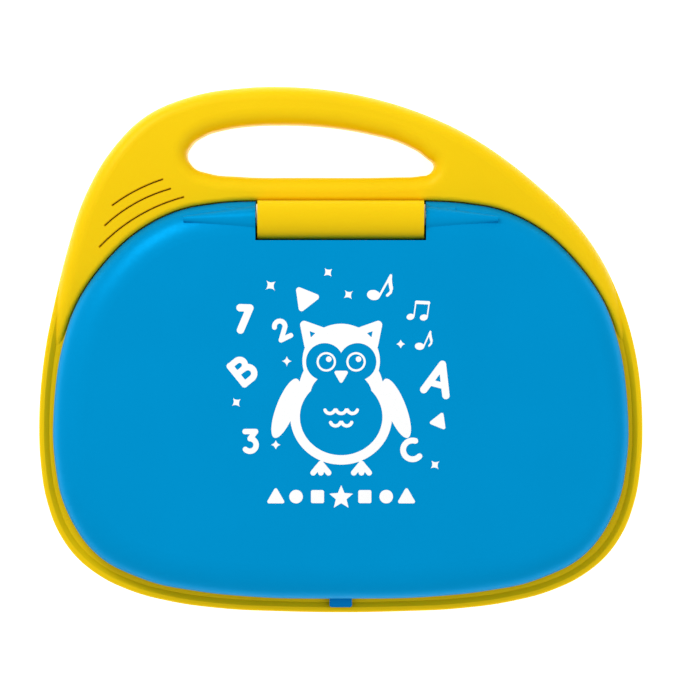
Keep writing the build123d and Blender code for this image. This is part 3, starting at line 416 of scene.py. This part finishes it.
# An eighth note: its head, its stem, the curl of its flag, and the flag's thick upper part.
NOTE = both(
    oval(-1.6, -3.9, 2.3, 1.75, 18),
    stroke(0.75, (0.3, -3.5), (0.3, 5.0)),
    stroke(0.95, (0.35, 4.9), (1.3, 2.7), (2.7, 1.2), (3.1, -0.3), (2.6, -1.7)),
    stroke(1.3, (0.5, 4.0), (1.7, 2.2), (2.6, 1.1)),
)

# Two heads with their stems, and the beam that joins them.
BEAMED_NOTES = both(
    oval(-3.3, -3.2, 1.75, 1.35, 14), oval(2.6, -3.2, 1.75, 1.35, 14),
    stroke(0.6, (-1.8, -3.0), (-1.2, 3.6)), stroke(0.6, (4.1, -3.0), (4.7, 3.6)),
    stroke(1.5, (-0.9, 3.4), (4.4, 3.4)),
)


def owl():
    """A plain owl seen from the front: a round-bellied ring with wings, ears, eyes and feet."""
    eye_x, eye_y = 6.6, 14.6
    ankle_x, ankle_y, toe_y = 9.0, -30.5, -34.6
    feather_places = ((-5, -6), (0, -6), (5, -6), (-2.5, -11.5), (2.5, -11.5))
    body = both(oval(0, -9.5, 22.6, 21.5), oval(0, 15.0, 17.2, 16.5), oval(0, 3.0, 18.6, 17.0))
    belly = both(oval(0, -9.8, 18.3, 17.0), oval(0, 0.5, 13.5, 10.0))
    face = both(disc(-7.3, eye_y, 8.3), disc(7.3, eye_y, 8.3))
    beak = turned(rounded_triangle(3.3, 0.8), 0, 8.6, -90)
    feathers = [bend(1.5, x, y, 2.3, 200, 340) for x, y in feather_places]
    ears, eyes, wings, feet = [], [], [], []
    for side in (-1, 1):
        ears.append(stroke(3.6, (side * 14.6, 22.0), (side * 16.4, 31.0), (side * 8.0, 28.0)))
        eyes.append(without(disc(side * eye_x, eye_y, 4.3), disc(side * eye_x, eye_y, 3.35)))
        eyes.append(disc(side * eye_x + 1.1, 15.8, 1.25))
        wings.append(oval(side * 24.6, -6.0, 4.2, 14.0, side * 21))
        for toe in (-3.4, 0, 3.4):
            feet.append(stroke(2.5, (side * ankle_x, ankle_y), (side * ankle_x + toe, toe_y)))
    return both(without(both(body, *ears), belly, face), beak, *eyes, *wings, *feathers, *feet)


# ---------------------------------------------------------------- laying a shape on a surface
OUTLINE_MARGIN = 0.02        # an outline stays this share of a step away from the sample points
INNER_SPACING = 2.0          # between the extra points inside a shape, in millimetres
INNER_DEPTH = 0.6            # how far these stay from the outline, in millimetres
JOIN_DISTANCE = 0.00001      # points nearer than this are one, in millimetres
ABOVE_ALL = 0.2              # a height above every surface, in metres


def outline_edges(field, xs, ys):
    """The zero line of a sampled field: points, and the edges between them."""
    points, index, edges = [], {}, []

    def crossing(i, j, across):
        key = (i, j, across)
        if key not in index:
            a, b = field[j, i], field[j, i + 1] if across else field[j + 1, i]
            t = min(1 - OUTLINE_MARGIN, max(OUTLINE_MARGIN, a / (a - b)))
            step = (xs[1] - xs[0]) * t
            index[key] = len(points)
            points.append((xs[i] + step, ys[j]) if across else (xs[i], ys[j] + step))
        return index[key]

    inside = field < 0
    mixed = inside[:-1, :-1].astype(int) + inside[:-1, 1:] + inside[1:, :-1] + inside[1:, 1:]
    for j, i in zip(*np.nonzero((mixed > 0) & (mixed < 4))):
        low, right, high, left = (inside[j, i], inside[j, i + 1], inside[j + 1, i + 1], inside[j + 1, i])
        found = []
        if low != right:
            found.append(crossing(i, j, True))
        if right != high:
            found.append(crossing(i + 1, j, False))
        if high != left:
            found.append(crossing(i, j + 1, True))
        if left != low:
            found.append(crossing(i, j, False))
        edges += [(found[k], found[k + 1]) for k in range(0, len(found), 2)]
    return points, edges


def lay(name, shape, extent, surface, finish, body, thick=0.00012, sink=0.00006, step=0.3):
    """Cuts a shape from a thin layer of ink and lays it on a surface.

    extent is (low x, low y, high x, high y) in millimetres, and step the spacing of the samples
    that find the outline. surface gives a height in metres for a place in metres. The layer
    stands thick above the surface and reaches sink below it, in metres.
    """
    low_x, low_y, high_x, high_y = extent
    xs = np.arange(low_x, high_x + step, step)
    ys = np.arange(low_y, high_y + step, step)
    field = shape(*np.meshgrid(xs, ys))
    points, edges = outline_edges(field, xs, ys)
    columns, rows = np.arange(low_x, high_x, INNER_SPACING), np.arange(low_y, high_y, INNER_SPACING)
    grid = np.stack(np.meshgrid(columns, rows), -1).reshape(-1, 2)
    deep = grid[shape(grid[:, 0], grid[:, 1]) < -INNER_DEPTH]
    flat = [Vector(point) for point in points] + [Vector(point) for point in deep]
    verts, _, faces, _, _, _ = delaunay_2d_cdt(flat, edges, [], 0, JOIN_DISTANCE)
    centres = np.array([[sum(verts[k][axis] for k in face) / 3 for axis in (0, 1)] for face in faces])
    kept = [face for face, depth in zip(faces, shape(centres[:, 0], centres[:, 1])) if depth < 0]
    mesh = bmesh.new()
    tops, bottoms = {}, {}
    for face in kept:
        for k in face:
            if k not in tops:
                x, y = verts[k][0] * MM, verts[k][1] * MM
                height = surface(x, y)
                tops[k] = mesh.verts.new((x, y, height + thick))
                bottoms[k] = mesh.verts.new((x, y, height - sink))
    sides = {}
    for face in kept:
        mesh.faces.new([tops[k] for k in face])
        mesh.faces.new([bottoms[k] for k in reversed(face)])
        sides.update(dict.fromkeys(zip(face, face[1:] + face[:1])))
    for a, b in sides:
        if (b, a) not in sides:
            mesh.faces.new([tops[b], tops[a], bottoms[a], bottoms[b]])
    bmesh.ops.recalc_face_normals(mesh, faces=mesh.faces)
    as_piece(name, mesh, finish, body)


def as_piece(name, mesh, finish, body):
    """Turns finished mesh data into an object that rides on a body."""
    data = bpy.data.meshes.new(name)
    mesh.to_mesh(data)
    mesh.free()
    data.materials.append(finish)
    piece = bpy.data.objects.new(name, data)
    bpy.context.scene.collection.objects.link(piece)
    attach(piece, body)


def surface_of(node_name):
    """A function that gives the height of a node's upper surface at a place."""
    tree = BVHTree.FromObject(nodes[node_name], bpy.context.evaluated_depsgraph_get())

    def height(x, y):
        hit = tree.ray_cast(Vector((x, y, ABOVE_ALL)), Vector((0, 0, -1)))[0]
        return hit.z
    return height


# ---------------------------------------------------------------- the printed lid
white_ink = printed_ink("white ink", linear(252, 253, 253))
lid_surface = surface_of("lid_outer_shell")

# Each shape's place in millimetres, its turn in degrees and its size.
LID_GLYPHS = (
    turned(ONE, -44.0, 14.1, -23, 1.13), turned(TWO, -26.1, 8.3, 26, 0.86),
    turned(THREE, -40.0, -40.9, 0, 0.93), turned(LETTER_A, 43.4, -13.2, -15, 1.27),
    turned(LETTER_B, -43.4, -9.6, 39, 1.08), turned(LETTER_C, 31.3, -44.9, 15, 0.95),
)
LID_TRIANGLES = (
    turned(rounded_triangle(6.0, 1.3), -15.6, 22.4, 8), turned(rounded_triangle(4.1, 0.8), 43.6, -32.2, 188),
)
# The place in millimetres, the turn in degrees and the radius of each sparkle.
LID_SPARKLES = (
    (-31.1, 28.2, 40, 3.3), (-5.6, 34.0, 40, 2.9), (3.4, 24.1, 38, 2.9), (26.6, 2.2, 0, 2.5),
    (-23.9, -5.4, 0, 2.6), (-46.3, -23.7, 38, 2.9), (-28.8, -42.5, 0, 2.6), (41.8, -51.4, 40, 2.9),
)
LID_NOTES = (
    turned(NOTE, 18.8, 27.3, -29, 1.28),
    turned(BEAMED_NOTES, 34.4, 17.3, -3),
    turned(NOTE, 37.7, 3.8, -24, 0.9),
)
sparkles = [turned(sparkle(radius), x, y, angle) for x, y, angle, radius in LID_SPARKLES]

# The row of plain shapes under the owl, the same to both sides of a star.
PRINT_MIDDLE, ROW_Y = 0.2, -65.5
SQUARE_OFF, DISC_OFF, TRIANGLE_OFF = 10.5, 20.0, 29.0
shape_row = [turned(star(5.6, 2.5), PRINT_MIDDLE, ROW_Y - 0.4)]
for side in (-1, 1):
    shape_row.append(turned(square(2.9, 0.8), PRINT_MIDDLE + side * SQUARE_OFF, ROW_Y))
    shape_row.append(disc(PRINT_MIDDLE + side * DISC_OFF, ROW_Y, 3.0))
    shape_row.append(turned(rounded_triangle(4.2, 0.8), PRINT_MIDDLE + side * TRIANGLE_OFF, ROW_Y - 0.5, 90))

lay("lid_print_letters", both(*LID_GLYPHS), (-56, -52, 56, 26), lid_surface, white_ink, "lid")
lay("lid_print_marks", both(*LID_TRIANGLES, *sparkles, *LID_NOTES, *shape_row), (-56, -74, 56, 44),
    lid_surface, white_ink, "lid", step=0.22)
lay("lid_print_owl", turned(owl(), PRINT_MIDDLE, -20.3), (-34, -60, 34, 16),
    lid_surface, white_ink, "lid")


# ---------------------------------------------------------------- key legends
legend_ink = printed_ink("blue legend ink", linear(20, 74, 140))
LETTER_SIZE = 0.0098
HALF_INK = 0.00005           # half a legend's thickness: as much of it is below the surface as above
WELD_DISTANCE = 0.000001


def flat_top(node_name):
    """The centre of the top of a key or button, in metres."""
    low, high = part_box(node_name)
    return (low.x + high.x) / 2, (low.y + high.y) / 2, high.z


def letter_legend(node_name, text):
    """One printed letter in the middle of a key."""
    x, y, top = flat_top(node_name)
    words = bpy.data.curves.new(f"legend_{node_name}", "FONT")
    words.body = text
    words.size = LETTER_SIZE
    words.align_x = "CENTER"
    words.align_y = "CENTER"
    words.extrude = HALF_INK
    source = bpy.data.objects.new("words", words)
    bpy.context.scene.collection.objects.link(source)
    bpy.context.view_layer.update()
    data = bpy.data.meshes.new_from_object(source.evaluated_get(bpy.context.evaluated_depsgraph_get()))
    bpy.data.objects.remove(source)
    mesh = bmesh.new()
    mesh.from_mesh(data)
    bmesh.ops.remove_doubles(mesh, verts=mesh.verts, dist=WELD_DISTANCE)
    bmesh.ops.translate(mesh, verts=mesh.verts, vec=(x, y, top))
    bpy.data.meshes.remove(data)
    as_piece(f"legend_{node_name}", mesh, legend_ink, node_name)


for key in [name for name in nodes if name.startswith("key_")]:
    letter_legend(key, key[-1].upper())

MARK_REACH = 6               # half the width of the area that a mark is drawn in, in millimetres
PLAY = rounded_triangle(4.2, 0.6)
REPEAT = both(bend(1.1, 0, 0, 3.0, 40, 340), turned(rounded_triangle(1.9, 0.2), 2.6, 1.9, -60))
BUTTON_MARKS = {
    "button_play": PLAY,
    "button_music": turned(NOTE, -0.2, 0, 0, 0.85),
    "button_star": sparkle(5.0),
    "button_repeat": REPEAT,
    "button_back": turned(PLAY, 0, 0, 180),
    "button_next": PLAY,
}
for button, mark in BUTTON_MARKS.items():
    centre_x, centre_y, button_top = flat_top(button)
    mark_x, mark_y = centre_x / MM, centre_y / MM
    extent = (mark_x - MARK_REACH, mark_y - MARK_REACH, mark_x + MARK_REACH, mark_y + MARK_REACH)
    lay(f"mark_{button}", turned(mark, mark_x, mark_y), extent, lambda x, y, top=button_top: top,
        white_ink, button, thick=HALF_INK, sink=HALF_INK, step=0.2)


# ---------------------------------------------------------------- floor, light and camera
FLOOR_SIZE = 8.0
FLOOR_HEIGHT = -0.0002       # just under the rubber feet
FLOOR_GLOW = 0.85


def studio_floor():
    """A large pale floor that also glows a little, as a light table does."""
    made = Shader("pale floor")
    tone = made.remap(made.noise(0.4, 2.0))
    made.colour(made.mix(tone, linear(246, 246, 247), linear(250, 250, 250)))
    made.roughness(made.remap(tone, 0.0, 1.0, 0.85, 0.9))
    made.set(Emission_Color=(1.0, 1.0, 1.0, 1.0), Emission_Strength=FLOOR_GLOW)
    bpy.ops.mesh.primitive_plane_add(size=FLOOR_SIZE, location=(0, 0, FLOOR_HEIGHT))
    floor = bpy.context.object
    floor.name = "studio_floor"
    floor.data.materials.append(made.material)


def soft_box(name, place, size, power):
    """A large square lamp that looks at the object."""
    lamp = bpy.data.lights.new(name, "AREA")
    lamp.shape = "SQUARE"
    lamp.size = size
    lamp.energy = power
    holder = bpy.data.objects.new(name, lamp)
    holder.location = place
    holder.rotation_euler = (-Vector(place)).to_track_quat("-Z", "Y").to_euler()
    bpy.context.scene.collection.objects.link(holder)


WALLS_UP_TO, CEILING_FROM = 0.35, 0.95      # the sines of the angles between which one fades to the other


def studio_walls(overhead, level):
    """Light from all round: grey walls, and a brighter ceiling."""
    world = bpy.data.worlds.new("studio")
    world.use_nodes = True
    tree = world.node_tree
    way = tree.nodes.new("ShaderNodeTexCoord").outputs["Generated"]
    split = tree.nodes.new("ShaderNodeSeparateXYZ")
    tree.links.new(way, split.inputs["Vector"])
    fade = tree.nodes.new("ShaderNodeMapRange")
    fade.interpolation_type = "SMOOTHSTEP"
    limits = {"From Min": WALLS_UP_TO, "From Max": CEILING_FROM, "To Min": level, "To Max": overhead}
    for socket, number in limits.items():
        fade.inputs[socket].default_value = number
    tree.links.new(split.outputs["Z"], fade.inputs["Value"])
    background = tree.nodes["Background"]
    background.inputs["Color"].default_value = (1.0, 1.0, 1.0, 1.0)
    tree.links.new(fade.outputs["Result"], background.inputs["Strength"])
    bpy.context.scene.world = world


studio_floor()
soft_box("key light", (-1.0, 1.5, 1.5), size=1.0, power=23)
soft_box("fill light", (1.3, -0.6, 1.5), size=1.6, power=4)
studio_walls(overhead=0.85, level=0.60)
bpy.context.scene.view_settings.view_transform = "Standard"

# The camera looks straight down from far away, a little to the right of the object's middle.
CAMERA_HEIGHT = 3.0
VIEW_WIDTH = 0.3125                  # how much of the object's plane the picture shows
VIEW_CENTRE = (0.00412, -0.00045)
PLANE_HEIGHT = 0.027                 # the height at which that width is measured
SENSOR_WIDTH = 36.0                  # in millimetres, as the lens is
camera_data = bpy.data.cameras.new("camera")
camera_data.sensor_width = SENSOR_WIDTH
camera_data.lens = SENSOR_WIDTH * (CAMERA_HEIGHT - PLANE_HEIGHT) / VIEW_WIDTH
camera = bpy.data.objects.new("camera", camera_data)
camera.location = (*VIEW_CENTRE, CAMERA_HEIGHT)
bpy.context.scene.collection.objects.link(camera)
bpy.context.scene.camera = camera
